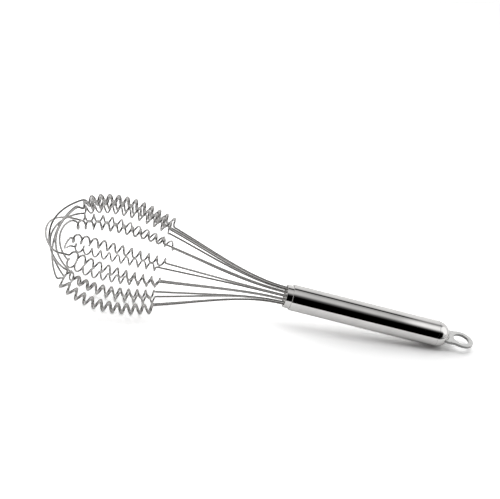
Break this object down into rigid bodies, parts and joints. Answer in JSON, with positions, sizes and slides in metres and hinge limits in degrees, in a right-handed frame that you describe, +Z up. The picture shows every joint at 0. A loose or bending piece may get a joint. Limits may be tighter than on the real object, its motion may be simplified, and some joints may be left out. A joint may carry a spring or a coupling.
{
  "type": "spiral whisk",
  "caption": "Balloon whisk of coiled steel wire loops set in a round tubular steel handle with a domed end and a flat hanging eye.",
  "frame": {"origin": "middle of the whisk's footprint, on the surface that it lies on", "axes": "+X along the whisk towards the handle's eye, +Y across it, +Z up from the surface it lies on"},
  "size_m": [0.2988, 0.0804, 0.0806],
  "materials": {
    "polished_steel": "mirror-polished stainless steel",
    "stamped_steel": "satin stamped stainless steel",
    "wire_steel": "bright drawn stainless wire",
    "pale_plastic": "matt moulded, natural colour",
    "clear_resin": "cast, hidden inside the handle"
  },
  "bodies": {
    "root": {"handle_tube": "polished_steel", "front_collar": "polished_steel", "end_cap": "polished_steel", "hanging_eye": "stamped_steel", "wire_plug": "pale_plastic", "resin_seal": "clear_resin", "wire_loop_1": "wire_steel", "wire_loop_2": "wire_steel", "wire_loop_3": "wire_steel", "wire_loop_4": "wire_steel", "wire_loop_5": "wire_steel", "wire_loop_6": "wire_steel", "wire_loop_7": "wire_steel"}
  },
  "joints": []
}
